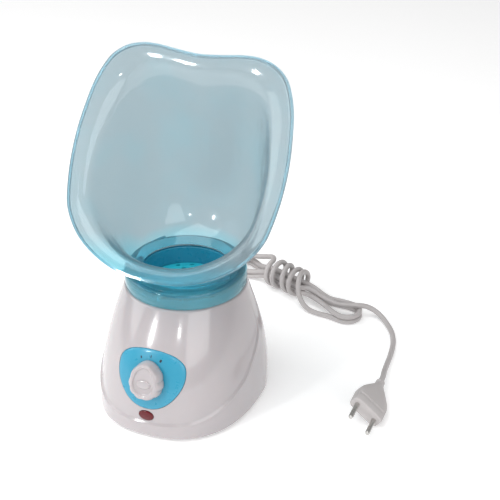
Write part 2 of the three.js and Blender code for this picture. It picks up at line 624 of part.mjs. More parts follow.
// ---- assembly ----
const nodes = [
  ['base_housing', baseHousing(), 'white'],
  ['bottom_cover', bottomCover(), 'white'],
  ...FEET.map((place, i) => [`foot_${i + 1}`, foot(place), 'rubber']),
  ...COVER_SCREWS.map((place, i) => [`cover_screw_${i + 1}`, coverScrew(place), 'steel']),
  ['control_panel', controlPanel(), 'panelBlue'],
  ['selector_knob', selectorKnob(), 'white'],
  ['knob_insert', knobInsert(), 'white'],
  ['switch_shaft', switchShaft(), 'grey'],
  ['rotary_switch', rotarySwitch(), 'black'],
  ['switch_nut', switchNut(), 'steel'],
  ['indicator_lens', indicatorLens(), 'lensRed'],
  ['indicator_lamp', indicatorLamp(), 'clear'],
  ['lamp_holder', lampHolder(), 'white'],
  ['water_vessel', waterVessel(), 'white'],
  ['heating_plate', heatingPlate(), 'steel'],
  ['plate_insulator', plateInsulator(), 'seal'],
  ['heater_bracket', heaterBracket(), 'steel'],
  ...POSTS.map((place, i) => [`bracket_screw_${i + 1}`, bracketScrew(place), 'steel']),
  ['heat_shield', heatShield(), 'steel'],
  ['thermostat', thermostat(), 'steel'],
  ['thermal_fuse', thermalFuse(), 'brass'],
  ['heater_terminal_1', heaterTerminal(4), 'brass'],
  ['heater_terminal_2', heaterTerminal(-4), 'brass'],
  ['chamber_lid', chamberLid(), 'teal'],
  ['hood_seal', hoodSeal(), 'seal'],
  ['steam_hood', steamHood(), 'hoodBlue'],
  ['strain_relief', strainRelief(), 'cord'],
  ['cord_clamp', cordClamp(), 'white'],
  ['clamp_screw_1', clampScrew(-8), 'steel'],
  ['clamp_screw_2', clampScrew(8), 'steel'],
  ['terminal_block', terminalBlock(), 'white'],
  ['switch_wire', switchWire(), 'wireRed'],
  ['heater_wire', heaterWire(), 'wireBlue'],
  ['lamp_wire', lampWire(), 'wireBlue'],
  ['cord_lead', cordLead(), 'cord'],
  ['cord_hank', cordHank(), 'cord'],
  ['cord_tail', cordTail(), 'cord'],
  ['plug_body', plugBody(), 'cord'],
  ['plug_pin_1', plugPin(-1), 'steel'],
  ['plug_pin_2', plugPin(1), 'steel'],
];

// Half the object's depth ahead of the hood's axis, less half behind it: centres the footprint.
const CENTRE_Y = 10.7;

const group = new THREE.Group();
nodes.forEach(([name, solid, slot]) => {
  const mesh = new THREE.Mesh(fromManifold(moved(solid, 0, CENTRE_Y, 0)), MATERIALS[slot]);
  mesh.name = name;
  group.add(mesh);
});

export default group;
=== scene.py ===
"""Facial steamer: the look of every visible piece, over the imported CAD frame. Metres, +Z up, front is -Y."""
import json
import math

import bmesh
import bpy
import numpy as np
from mathutils import Matrix, Vector


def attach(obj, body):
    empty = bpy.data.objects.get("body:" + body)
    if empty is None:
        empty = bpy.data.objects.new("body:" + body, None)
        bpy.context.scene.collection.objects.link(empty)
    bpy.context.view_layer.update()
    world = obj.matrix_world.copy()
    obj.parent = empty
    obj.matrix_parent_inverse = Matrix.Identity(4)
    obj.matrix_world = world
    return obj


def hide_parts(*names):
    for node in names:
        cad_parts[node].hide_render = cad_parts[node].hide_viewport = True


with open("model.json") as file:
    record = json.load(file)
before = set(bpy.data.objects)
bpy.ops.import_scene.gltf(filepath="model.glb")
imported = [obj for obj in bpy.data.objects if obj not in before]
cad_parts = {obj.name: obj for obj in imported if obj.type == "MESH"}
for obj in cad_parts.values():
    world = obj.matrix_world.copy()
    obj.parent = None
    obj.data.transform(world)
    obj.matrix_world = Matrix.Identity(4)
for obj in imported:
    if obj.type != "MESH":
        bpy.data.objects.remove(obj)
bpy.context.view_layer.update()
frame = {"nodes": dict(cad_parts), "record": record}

# ---- driving dimensions, mostly the CAD's; the skirt's step is deeper than the CAD's ----
CENTRE_Y = 0.0107           # the hood's turning axis, back from the footprint's centre

BASE_BOTTOM, COLLAR_TOP = 0.0023, 0.103
BASE_HALF_WIDTH, BASE_FRONT, BASE_BACK = 0.066, 0.085, 0.054
BASE_SQUARENESS, BASE_TAPER, BASE_BULGE = 2.45, 1.78, 0.0025
COLLAR_RADIUS, BASE_EDGE, SKIRT_STEP, WALL = 0.0507, 0.0022, 0.0012, 0.0034
NECK_RADIUS, NECK_INNER, NECK_TOP, NECK_DECK, NECK_OPENING = 0.0482, 0.0458, 0.111, 0.0024, 0.038

KNOB_HEIGHT, KNOB_TILT = 0.0505, math.radians(18)
KNOB_RADIUS, KNOB_POINTER, KNOB_DISH = 0.0128, 0.0046, 0.0091
KNOB_FLUTES = 10
DIAL_RADIUS = 0.0194        # from the knob's axis to its three marks
LENS_HEIGHT, LENS_HALF_WIDTH, LENS_HALF_HEIGHT = 0.0216, 0.0065, 0.0043

SKIRT_BOTTOM, SKIRT_TOP, HOOD_PLATE = 0.1034, 0.1174, 0.002
HOOD_RING, SKIRT_RADIUS, SKIRT_WALL, HOOD_WALL = 0.0362, 0.0507, 0.0017, 0.0022
SEAL_INNER, SEAL_OUTER, SEAL_BOTTOM, SEAL_TOP = 0.038, 0.044, 0.1131, 0.1151
LID_RADIUS, LID_BOTTOM, LID_TOP = 0.0354, 0.0969, 0.103
RIM_TILT, RIM_Y, RIM_Z, RIM_CENTRE = math.radians(35), -0.0374, 0.178, 0.042
FLANGE_SCALE, FLANGE_DEPTH = 0.75, 0.012

CORD_RADIUS = 0.00245
CORD_EXIT_Y, CORD_EXIT_Z = 0.0556, 0.012
HANK_PLACE, HANK_ANGLE = (0.103, 0.1455), math.radians(-20.8)
PLUG_NECK = (0.1606, 0.0399, 0.0134)
PLUG_ROLL = math.radians(-40)
PLUG_LENGTH, PLUG_WIDTH, PLUG_THICKNESS = 0.046, 0.030, 0.013
PIN_SPACING = 0.019

# ---- camera ----
CAMERA_PLACE = (0.36046, -0.77890 + CENTRE_Y, 0.61042)
CAMERA_AZIMUTH, CAMERA_PITCH = math.radians(21.30), math.radians(29.28)
SENSOR, FOCAL = 36.0, 86.4


def add_camera():
    data = bpy.data.cameras.new("Camera")
    data.sensor_width = SENSOR
    data.lens = FOCAL
    camera = bpy.data.objects.new("Camera", data)
    camera.location = CAMERA_PLACE
    ahead = Vector((
        -math.sin(CAMERA_AZIMUTH) * math.cos(CAMERA_PITCH),
        math.cos(CAMERA_AZIMUTH) * math.cos(CAMERA_PITCH),
        -math.sin(CAMERA_PITCH),
    ))
    camera.rotation_euler = ahead.to_track_quat("-Z", "Y").to_euler()
    bpy.context.scene.collection.objects.link(camera)
    bpy.context.scene.camera = camera


# ---- mesh helpers ----
def link_mesh(name, vertices, faces, sharp_degrees=35):
    """A new object from points in the hood axis's frame, moved to the row frame."""
    mesh = bpy.data.meshes.new(name)
    mesh.from_pydata([tuple(v) for v in vertices], [], [tuple(f) for f in faces])
    mesh.transform(Matrix.Translation((0, CENTRE_Y, 0)))
    obj = bpy.data.objects.new(name, mesh)
    bpy.context.scene.collection.objects.link(obj)
    finish_mesh(obj, sharp_degrees)
    return obj


def finish_mesh(obj, sharp_degrees=35):
    """Outward normals, smooth shading, and sharp edges where the form turns sharply."""
    mesh = obj.data
    work = bmesh.new()
    work.from_mesh(mesh)
    bmesh.ops.remove_doubles(work, verts=work.verts, dist=1e-6)
    bmesh.ops.recalc_face_normals(work, faces=work.faces)
    work.to_mesh(mesh)
    work.free()
    mesh.polygons.foreach_set("use_smooth", [True] * len(mesh.polygons))
    mesh.set_sharp_from_angle(angle=math.radians(sharp_degrees))
    mesh.update()


def ring_faces(rings, count, closed=False):
    """Quads between successive rings of count points; closed joins the last ring to the first."""
    faces = []
    for r in range(rings if closed else rings - 1):
        low, high = r * count, (r + 1) % rings * count
        for i in range(count):
            j = (i + 1) % count
            faces.append((low + i, low + j, high + j, high + i))
    return faces


def oval_ring(half_width, half_height, level, count=96, centre=(0, 0)):
    """Points of an oval at that height."""
    x, y = centre
    turns = [math.tau * i / count for i in range(count)]
    return [(x + half_width * math.cos(turn), y + half_height * math.sin(turn), level) for turn in turns]


def lofted(name, rings, sharp_degrees=35):
    """A solid through a stack of rings, with a flat face at each end."""
    count = len(rings[0])
    faces = ring_faces(len(rings), count)
    faces.append(tuple(range(count)))
    faces.append(tuple(range((len(rings) - 1) * count, len(rings) * count)))
    return link_mesh(name, [p for ring in rings for p in ring], faces, sharp_degrees)


def turned(name, profile, segments=128, sharp_degrees=35):
    """A closed profile of (radius, height) turned about the hood's axis."""
    rings = [oval_ring(radius, radius, height, segments) for radius, height in profile]
    on_axis = profile[0][0] == 0 and profile[-1][0] == 0
    vertices = [p for ring in rings for p in ring]
    return link_mesh(name, vertices, ring_faces(len(rings), segments, closed=not on_axis), sharp_degrees)


def rounded_profile(points, radius, steps=4):
    """A profile with each corner replaced by a short curve that starts radius before it."""
    out = []
    for i, corner in enumerate(points):
        here = Vector((*corner, 0))
        before = Vector((*points[i - 1], 0))
        after = Vector((*points[(i + 1) % len(points)], 0))
        if i in (0, len(points) - 1) and corner[0] == 0:
            out.append(corner)
            continue
        reach = min(radius, (before - here).length * 0.45, (after - here).length * 0.45)
        start = here + (before - here).normalized() * reach
        end = here + (after - here).normalized() * reach
        for k in range(steps + 1):
            t = k / steps
            p = start * (1 - t) ** 2 + here * 2 * t * (1 - t) + end * t ** 2
            out.append((p.x, p.y))
    return out


def cut(obj, tool):
    """Takes tool's volume away from obj, and tool from the scene."""
    modifier = obj.modifiers.new("Cut", "BOOLEAN")
    modifier.operation = "DIFFERENCE"
    modifier.solver = "EXACT"
    modifier.object = tool
    with bpy.context.temp_override(object=obj, active_object=obj, selected_objects=[obj]):
        bpy.ops.object.modifier_apply(modifier=modifier.name)
    bpy.data.objects.remove(tool)


def smoothstep(value, low, high):
    """0 below low, 1 above high, and an even curve between."""
    t = min(max((value - low) / (high - low), 0), 1)
    return t * t * (3 - 2 * t)


def spline(points, count, closed=False):
    """Evenly spaced points along a centripetal Catmull-Rom curve."""
    known = [Vector(p) for p in points]
    if closed:
        known = [known[-1], *known, known[0], known[1]]
    else:
        known = [known[0] * 2 - known[1], *known, known[-1] * 2 - known[-2]]
    fine = []
    for a, b, c, d in zip(known, known[1:], known[2:], known[3:]):
        t1 = (b - a).length ** 0.5
        t2 = t1 + (c - b).length ** 0.5
        t3 = t2 + (d - c).length ** 0.5
        for k in range(24):
            t = t1 + (t2 - t1) * k / 24
            p = a * ((t1 - t) / t1) + b * (t / t1)
            q = b * ((t2 - t) / (t2 - t1)) + c * ((t - t1) / (t2 - t1))
            r = c * ((t3 - t) / (t3 - t2)) + d * ((t - t2) / (t3 - t2))
            s = p * ((t2 - t) / t2) + q * (t / t2)
            u = q * ((t3 - t) / (t3 - t1)) + r * ((t - t1) / (t3 - t1))
            fine.append(s * ((t2 - t) / (t2 - t1)) + u * ((t - t1) / (t2 - t1)))
    fine.append(known[-2].copy())
    return resample(fine, count + 1 if closed else count)[:count]


def resample(points, count):
    """count points evenly spaced along a polyline."""
    data = np.array([tuple(p) for p in points])
    steps = np.linalg.norm(np.diff(data, axis=0), axis=1)
    along = np.concatenate([[0], np.cumsum(steps)])
    wanted = np.linspace(0, along[-1], count)
    return [Vector(p) for p in np.stack([np.interp(wanted, along, data[:, k]) for k in range(3)], -1)]


# ---- base surface, the same as the CAD's ----
def base_radius(angle, height, inset):
    """The base's reach from the axis: a squarish oval that narrows to the round collar."""
    t = min(max((height - BASE_BOTTOM) / (COLLAR_TOP - BASE_BOTTOM), 0), 1)
    bulge = BASE_BULGE * math.sin(math.pi * t)
    power = BASE_SQUARENESS + (2 - BASE_SQUARENESS) * t

    def reach(start):
        return start + (COLLAR_RADIUS - start) * t ** BASE_TAPER + bulge - inset

    across = abs(math.cos(angle) / reach(BASE_HALF_WIDTH)) ** power
    along = abs(math.sin(angle) / reach(BASE_FRONT if math.sin(angle) < 0 else BASE_BACK)) ** power
    return (across + along) ** (-1 / power)


def base_point(angle, height, inset):
    radius = base_radius(angle, height, inset)
    return (radius * math.cos(angle), radius * math.sin(angle), height)


def front_y(x, height):
    """The base's front surface at a place on the front, seen face on."""
    angle = -math.pi / 2
    for _ in range(8):
        radius = base_radius(angle, height, 0)
        angle = -math.pi / 2 + math.asin(max(-1, min(1, x / radius)))
    return base_radius(angle, height, 0) * math.sin(angle)


# The front shield's edge in side view. Below and behind it the skirt stands proud.
SWEEP = [
    (-0.100, 0.0125), (-0.077, 0.0174), (-0.061, 0.023), (-0.040, 0.0325), (-0.027, 0.039),
    (-0.016, 0.0475), (-0.003, 0.0575), (0.0045, 0.066), (0.006, 0.080), (0.004, 0.104),
]
SWEEP_LINE = np.array([tuple(p)[:2] for p in spline([(y, z, 0) for y, z in SWEEP], 200)])
STEP_WIDTH = 0.0012
RIDGE = 0.0004              # the rounded ridge along the skirt's edge
STEP_FADES = 0.050, 0.093   # the heights between which the step dies away


def beyond_sweep(y, z):
    """Signed distance from the sweep: positive below it and behind it."""
    gaps = SWEEP_LINE - (y, z)
    nearest = int(np.argmin((gaps ** 2).sum(1)))
    ahead = SWEEP_LINE[min(nearest + 1, len(SWEEP_LINE) - 1)] - SWEEP_LINE[max(nearest - 1, 0)]
    side = ahead[0] * gaps[nearest][1] - ahead[1] * gaps[nearest][0]
    return math.copysign(math.hypot(*gaps[nearest]), side)


def skirt_step(angle, height):
    """How far the skirt stands proud of the shield here."""
    fade = 1 - smoothstep(height, *STEP_FADES)
    if fade == 0:
        return 0.0
    _, y, z = base_point(angle, height, 0)
    beyond = beyond_sweep(y, z)
    ridge = RIDGE * math.exp(-((beyond - STEP_WIDTH) / STEP_WIDTH) ** 2)
    return fade * (SKIRT_STEP * smoothstep(beyond, -STEP_WIDTH, STEP_WIDTH) + ridge)


BASE_SEGMENTS = 480
BASE_ROWS = 120
LENS_GAP = 0.0003
LENS_HOLE_DEPTH = 0.012
NECK_PROFILE = rounded_profile([
    (NECK_RADIUS, COLLAR_TOP), (NECK_RADIUS, NECK_TOP), (NECK_OPENING, NECK_TOP),
    (NECK_OPENING, NECK_TOP - NECK_DECK), (NECK_INNER, NECK_TOP - NECK_DECK), (NECK_INNER, 0.098),
], 0.0007)[3:-3]


def base_housing():
    """The shell: its rounded foot, its wall with the skirt, its neck and its inside, then the holes."""
    rows = []
    for angle in [math.tau * i / BASE_SEGMENTS for i in range(BASE_SEGMENTS)]:
        unit = (math.cos(angle), math.sin(angle))
        profile = [base_point(angle, BASE_BOTTOM, WALL)]
        for degrees in (0, 22, 45, 68, 90):
            turn = math.radians(degrees)
            step = skirt_step(angle, BASE_BOTTOM + BASE_EDGE)
            lift = BASE_EDGE * (1 - math.cos(turn))
            profile.append(base_point(angle, BASE_BOTTOM + lift, BASE_EDGE * (1 - math.sin(turn)) - step))
        low, high = BASE_BOTTOM + BASE_EDGE, COLLAR_TOP - 0.0012
        for k in range(1, BASE_ROWS + 1):
            height = low + (high - low) * k / BASE_ROWS
            profile.append(base_point(angle, height, -skirt_step(angle, height)))
        profile.append(base_point(angle, COLLAR_TOP - 0.0004, 0.0003))
        profile.append(base_point(angle, COLLAR_TOP, 0.0011))
        for radius, height in NECK_PROFILE:
            profile.append((radius * unit[0], radius * unit[1], height))
        for height in (0.085, 0.060, 0.035, 0.012):
            profile.append(base_point(angle, height, WALL))
        rows.append(profile)
    count = len(rows[0])
    vertices = [p for profile in rows for p in profile]
    base = link_mesh("housing_shell", vertices, ring_faces(len(rows), count, closed=True), 40)
    cut(base, panel_recess())
    cut(base, lens_hole())
    cut(base, cord_hole())
    finish_mesh(base, 40)
    return base


# ---- front controls ----
PANEL_HALF = [
    (0, 0.0278), (0.008, 0.0288), (0.0165, 0.033), (0.0235, 0.040), (0.028, 0.048), (0.0295, 0.0565),
    (0.0276, 0.0645), (0.0205, 0.0708), (0.010, 0.0742), (0, 0.075),
]
PANEL_CENTRE = 0.053


def mirrored(half, count):
    """A closed smooth outline through points for x >= 0 and their mirror images."""
    other = [(-x, z) for x, z in reversed(half) if x > 0]
    return [(p.x, p.y) for p in spline([(x, z, 0) for x, z in [*half, *other]], count, closed=True)]


def panel_outline(inset, count):
    """The panel's outline, drawn in by inset."""
    out = []
    for x, z in mirrored(PANEL_HALF, count):
        length = math.hypot(x, z - PANEL_CENTRE)
        scale = (length - inset) / length
        out.append((x * scale, PANEL_CENTRE + (z - PANEL_CENTRE) * scale))
    return out


def over_front(name, outline, centre, levels, sharp_degrees=35):
    """A patch that follows the base's front: levels are (scale, proud) from its back to its face."""
    rings = []
    for scale, proud in levels:
        ring = []
        for x, z in outline:
            px = centre[0] + (x - centre[0]) * scale
            pz = centre[1] + (z - centre[1]) * scale
            ring.append((px, front_y(px, pz) - proud, pz))
        rings.append(ring)
    return lofted(name, rings, sharp_degrees)


def panel_recess():
    outline = panel_outline(0, 140)
    levels = [(scale, -0.0016) for scale in (0.2, 0.4, 0.6, 0.8, 1)] + [(1, 0.004)]
    return over_front("recess", outline, (0, PANEL_CENTRE), levels)


def control_panel():
    outline = panel_outline(0.0003, 180)
    proud = 0.00045
    back = [(scale, -0.0013) for scale in (0.1, 0.4, 0.7, 1)]
    edge = [(1, -0.0005), (0.998, -0.00005), (0.991, 0.0003), (0.980, proud)]
    face = [(scale, proud) for scale in (0.9, 0.8, 0.65, 0.5, 0.35, 0.2, 0.08)]
    return over_front("panel_face", outline, (0, PANEL_CENTRE), [*back, *edge, *face], 50)


def dial_mark(name, degrees, half_width, half_height):
    """A printed mark round the knob, 0.15 mm proud of the panel."""
    x = DIAL_RADIUS * math.sin(math.radians(degrees))
    z = KNOB_HEIGHT + DIAL_RADIUS * math.cos(math.radians(degrees))
    cosine, sine = math.cos(math.radians(-degrees)), math.sin(math.radians(-degrees))
    outline = []
    for a, b, _ in oval_ring(half_width, half_height, 0, 32):
        outline.append((x + a * cosine - b * sine, z + a * sine + b * cosine))
    levels = [(1, 0.0002), (1, 0.00055), (0.9, 0.0006), (0.4, 0.0006)]
    return over_front(name, outline, (x, z), levels)


def knob_frame():
    """Turns points made along +Z so that they stand out from the front at the knob's axis."""
    place = Matrix.Translation((0, front_y(0, KNOB_HEIGHT), KNOB_HEIGHT))
    return place @ Matrix.Rotation(math.pi / 2 - KNOB_TILT, 4, "X")


def angle_from_top(angle):
    return abs((angle - math.pi / 2 + math.pi) % math.tau - math.pi)


def egg(angle):
    """The knob's plan: round, drawn out to a blunt point at the top."""
    return KNOB_RADIUS + KNOB_POINTER * math.exp(-(angle_from_top(angle) / 0.75) ** 2)


def knob_ring(height, grow, flute):
    """The knob's outline at one height, with flutes that stop short of its point."""
    steps = 320
    ring = []
    for i in range(steps):
        angle = math.tau * i / steps
        scallop = abs(math.cos(angle * KNOB_FLUTES / 2)) ** 0.8 * smoothstep(angle_from_top(angle), 0.35, 0.9)
        radius = egg(angle) + flute * scallop + grow
        ring.append((radius * math.cos(angle), radius * math.sin(angle), height))
    return ring


def selector_knob():
    """From its foot up the side, over the rim and down into the dish."""
    side = [
        (0.0004, 0.0004, 0.0006), (0.0009, 0.0008, 0.0008), (0.0035, 0.0006, 0.0010),
        (0.0060, 0.0001, 0.0010), (0.0080, -0.0005, 0.0009), (0.0092, -0.0009, 0.0007),
        (0.0099, -0.0014, 0.0004), (0.0103, -0.0020, 0.0002), (0.0105, -0.0027, 0.0001),
        (0.01045, -0.0034, 0), (0.0101, -0.0038, 0), (0.0095, -0.0040, 0),
        (0.0092, -0.0043, 0), (KNOB_DISH, -0.0050, 0), (KNOB_DISH, -0.0080, 0),
    ]
    knob = lofted("knob_shell", [knob_ring(*level) for level in side], 60)
    return placed_by(knob, knob_frame())


def placed_by(obj, matrix):
    """obj's points moved by matrix about the hood axis's frame."""
    shift = Matrix.Translation((0, CENTRE_Y, 0))
    obj.data.transform(shift @ matrix @ shift.inverted())
    return obj


def knob_insert():
    """The plain raised oval in the knob's dish."""
    half_width, half_height = 0.0062, 0.0036
    levels = [(KNOB_DISH, 1), (0.0096, 1), (0.0099, 0.95), (0.0101, 0.86), (0.01022, 0.6), (0.01025, 0.25)]
    rings = [oval_ring(half_width * scale, half_height * scale, height) for height, scale in levels]
    return placed_by(lofted("knob_badge", rings, 50), knob_frame())


def lens_frame():
    """Turns points made along +Z so that they stand out from the front at the lens."""
    place = Matrix.Translation((0, front_y(0, LENS_HEIGHT), LENS_HEIGHT))
    return place @ Matrix.Rotation(math.pi / 2, 4, "X")


def lens_hole():
    half_width, half_height = LENS_HALF_WIDTH + LENS_GAP, LENS_HALF_HEIGHT + LENS_GAP
    rings = [oval_ring(half_width, half_height, level) for level in (-LENS_HOLE_DEPTH, LENS_HOLE_DEPTH)]
    return placed_by(lofted("lens_hole", rings), lens_frame())


def indicator_lens():
    """An oval cap with a low crown."""
    proud, crown, steps = 0.0002, 0.001, 12
    rings = [oval_ring(LENS_HALF_WIDTH, LENS_HALF_HEIGHT, level) for level in (-0.004, proud)]
    for k in range(1, steps):
        turn = math.pi / 2 * k / steps
        shrink = math.cos(turn)
        level = proud + crown * math.sin(turn)
        rings.append(oval_ring(LENS_HALF_WIDTH * shrink, LENS_HALF_HEIGHT * shrink, level))
    return placed_by(lofted("lens_cap", rings, 50), lens_frame())


def cord_hole():
    radius = 0.0053
    outline = oval_ring(radius, radius, 0, 48, centre=(0, CORD_EXIT_Z))
    rings = [[(x, y, z) for x, z, _ in outline] for y in (CORD_EXIT_Y - 0.012, CORD_EXIT_Y + 0.008)]
    return lofted("cord_hole", rings)


# ---- vessel, lid and seal ----
def water_vessel():
    """A cup with a ledge for the lid and a flange over the neck."""
    ledge, top, wall = 0.0965, NECK_TOP + 0.0003, 0.0015
    radius, lower, bottom, flange = 0.0375, 0.034, 0.050, 0.045
    profile = [
        (0, bottom), (lower - 0.003, bottom), (lower, bottom + 0.003), (lower, ledge - 0.0016),
        (radius, ledge - 0.0016), (radius, top), (flange, top), (flange, top + wall),
        (radius - wall, top + wall), (radius - wall, ledge), (lower - wall, ledge),
        (lower - wall, bottom + 0.004), (lower - 0.004, bottom + wall), (0, bottom + wall),
    ]
    return turned("vessel_shell", rounded_profile(profile, 0.0006), 160, 40)


# The lid's rings of steam holes: distance from the axis, count and hole radius.
LID_HOLES = [(0.0272, 14, 0.0019), (0.0186, 9, 0.0019), (0.009, 5, 0.0016)]


def lid_holes():
    """One mesh of upright plugs, one for each steam hole."""
    sides = 24
    vertices = []
    faces = []
    for ring, count, radius in LID_HOLES:
        for x, y, _ in oval_ring(ring, ring, 0, count):
            start = len(vertices)
            for level in (LID_BOTTOM - 0.007, LID_TOP + 0.007):
                vertices += oval_ring(radius, radius, level, sides, centre=(x, y))
            faces += [[start + i for i in face] for face in ring_faces(2, sides)]
            faces += [[start + i for i in range(sides)], [start + sides + i for i in range(sides)]]
    return link_mesh("lid_holes", vertices, faces)


def chamber_lid():
    """A domed disc on a short skirt, with its steam holes."""
    radius, top = LID_RADIUS, LID_TOP
    profile = [
        (0, top), (0.014, top - 0.0004), (0.024, top - 0.0014), (0.031, top - 0.003), (0.0334, top - 0.0046),
        (radius, top - 0.0048), (radius, LID_BOTTOM), (0.033, LID_BOTTOM), (0.0322, top - 0.0048),
        (0.030, top - 0.0046), (0.0234, top - 0.003), (0.014, top - 0.002), (0, top - 0.0016),
    ]
    lid = turned("lid_shell", rounded_profile(profile, 0.0008), 160, 40)
    cut(lid, lid_holes())
    finish_mesh(lid, 40)
    return lid


def hood_seal():
    corners = [
        (SEAL_INNER, SEAL_BOTTOM), (SEAL_OUTER, SEAL_BOTTOM), (SEAL_OUTER, SEAL_TOP), (SEAL_INNER, SEAL_TOP),
    ]
    return turned("seal_ring", rounded_profile(corners, 0.0008), 160, 40)


# ---- hood ----
RIM_HALF = [
    (0, -0.0505), (0.017, -0.0495), (0.034, -0.0455), (0.0525, -0.037), (0.067, -0.0265), (0.077, -0.0145),
    (0.083, -0.003), (0.0862, 0.011), (0.0884, 0.028), (0.0892, 0.046), (0.0886, 0.062), (0.0868, 0.078),
    (0.084, 0.095), (0.0796, 0.109), (0.073, 0.1215), (0.0625, 0.130), (0.050, 0.1338), (0.038, 0.1342),
    (0.018, 0.132), (0, 0.1306),
]
HOOD_STEPS = 300
HOOD_LEAN = 40              # how far the back wall leans out where it meets the flange, in degrees
FRONT_NARROWING = 0.12      # how much narrower the flange is at the front, as a share of the rim
FOOT_OUT = 0.004, 0.045     # how hard the bowl sets off outwards from its foot, at the front and back
FOOT_UP = 0.004, 0.020      # and how hard it sets off upwards
BOWL_ARRIVES = 0.014, 0.052  # how straight it runs into the flange, at the front and back
FLANGE_LEAVES, FLANGE_FLATTENS, LIP_TURN = 0.010, 0.011, 0.0026
BOWL_ROWS, FLANGE_ROWS = 40, 16
LIP_ROWS = 1.6              # how many rows of the flange the deeper tint of the lip covers
OPENING = Vector((0, -math.cos(RIM_TILT), math.sin(RIM_TILT)))
UPHILL = Vector((0, math.sin(RIM_TILT), math.cos(RIM_TILT)))
SKIRT_INSIDE, PLATE_UNDERSIDE = SKIRT_RADIUS - SKIRT_WALL, SKIRT_TOP - HOOD_PLATE
SKIRT_PROFILE = [
    (SKIRT_RADIUS - 0.0034, SKIRT_TOP), (SKIRT_RADIUS - 0.0020, SKIRT_TOP - 0.0003),
    (SKIRT_RADIUS - 0.0010, SKIRT_TOP - 0.0010), (SKIRT_RADIUS - 0.0003, SKIRT_TOP - 0.0021),
    (SKIRT_RADIUS, SKIRT_TOP - 0.0036), (SKIRT_RADIUS, SKIRT_BOTTOM + 0.006),
    (SKIRT_RADIUS, SKIRT_BOTTOM + 0.0004), (SKIRT_RADIUS - 0.0003, SKIRT_BOTTOM),
    (SKIRT_INSIDE + 0.0003, SKIRT_BOTTOM), (SKIRT_INSIDE, SKIRT_BOTTOM + 0.0004),
    (SKIRT_INSIDE, PLATE_UNDERSIDE - 0.0008), (SKIRT_INSIDE - 0.0008, PLATE_UNDERSIDE),
    (HOOD_RING + 0.0004, PLATE_UNDERSIDE), (HOOD_RING, PLATE_UNDERSIDE + 0.0004),
]


def on_rim_plane(x, s, depth):
    """A point x across and s up the plane of the hood's rim, at a depth behind it."""
    return Vector((x, RIM_Y, RIM_Z)) + UPHILL * s - OPENING * depth


def between(ends, share):
    return ends[0] + (ends[1] - ends[0]) * share


def bezier(a, b, c, d, steps):
    """Points of a cubic curve after its first."""
    out = []
    for k in range(1, steps + 1):
        t = k / steps
        out.append(a * (1 - t) ** 3 + b * 3 * t * (1 - t) ** 2 + c * 3 * t * t * (1 - t) + d * t ** 3)
    return out


def hood_strand(index, rim):
    """One line up the hood's middle surface, from the ring on the base to the lip."""
    angle = math.tau * index / HOOD_STEPS - math.pi / 2
    to_back = (1 + math.sin(angle)) / 2
    outward = Vector((math.cos(angle), math.sin(angle), 0))
    ring = outward * (HOOD_RING + HOOD_WALL / 2)
    ring.z = SKIRT_TOP - HOOD_PLATE / 2
    x, s = rim[index]
    scale = FLANGE_SCALE + FRONT_NARROWING * (1 - to_back) ** 2
    inner = on_rim_plane(x * scale, RIM_CENTRE + (s - RIM_CENTRE) * scale, FLANGE_DEPTH)
    edge = on_rim_plane(x, s, 0)
    on_plane = (edge - on_rim_plane(0, RIM_CENTRE, 0)).normalized()
    lean = math.radians(HOOD_LEAN) * to_back
    slope = OPENING * math.cos(lean) + on_plane * math.sin(lean)
    leaving = ring + outward * between(FOOT_OUT, to_back) + Vector((0, 0, between(FOOT_UP, to_back)))
    arriving = inner - slope * between(BOWL_ARRIVES, to_back)
    bowl = bezier(ring, leaving, arriving, inner, BOWL_ROWS)
    flattening = edge - on_plane * FLANGE_FLATTENS
    flange = bezier(inner, inner + slope * FLANGE_LEAVES, flattening, edge, FLANGE_ROWS)
    return [ring, *bowl, *flange, edge - OPENING * LIP_TURN]


def steam_hood():
    """A shell to both sides of the strands, closed by the lip above and the ring's skirt below."""
    rim = mirrored(RIM_HALF, HOOD_STEPS)
    middle = np.array([[tuple(p) for p in hood_strand(i, rim)] for i in range(HOOD_STEPS)])
    around = np.roll(middle, -1, axis=0) - np.roll(middle, 1, axis=0)
    along = np.gradient(middle, axis=1)
    normal = np.cross(around, along)
    normal /= np.linalg.norm(normal, axis=2)[:, :, None]
    outside = middle + normal * HOOD_WALL / 2
    inside = middle - normal * HOOD_WALL / 2
    loops = []
    for i in range(HOOD_STEPS):
        angle = math.tau * i / HOOD_STEPS - math.pi / 2
        unit = np.array((math.cos(angle), math.sin(angle), 0))
        end = middle[i][-1] - middle[i][-2]
        lip = middle[i][-1] + end / np.linalg.norm(end) * HOOD_WALL * 0.35
        above = outside[i][outside[i][:, 2] > SKIRT_TOP + 0.0012]
        outer = np.array([tuple(p) for p in resample(above, BOWL_ROWS + FLANGE_ROWS)])
        root = np.linalg.norm(outer[0][:2]) + 0.0016
        skirt = [unit * radius + (0, 0, height) for radius, height in [(root, SKIRT_TOP), *SKIRT_PROFILE]]
        loops.append([*inside[i][1:], lip, *outer[::-1], *skirt])
    count = len(loops[0])
    vertices = [tuple(p) for loop in loops for p in loop]
    hood = link_mesh("hood_shell", vertices, ring_faces(HOOD_STEPS, count, closed=True), 50)
    lip_row = BOWL_ROWS + FLANGE_ROWS + 1
    lip_share = [math.exp(-((row - lip_row) / LIP_ROWS) ** 2) for row in range(count)]
    hood.data.attributes.new("lip", "FLOAT", "POINT").data.foreach_set("value", lip_share * HOOD_STEPS)
    return hood


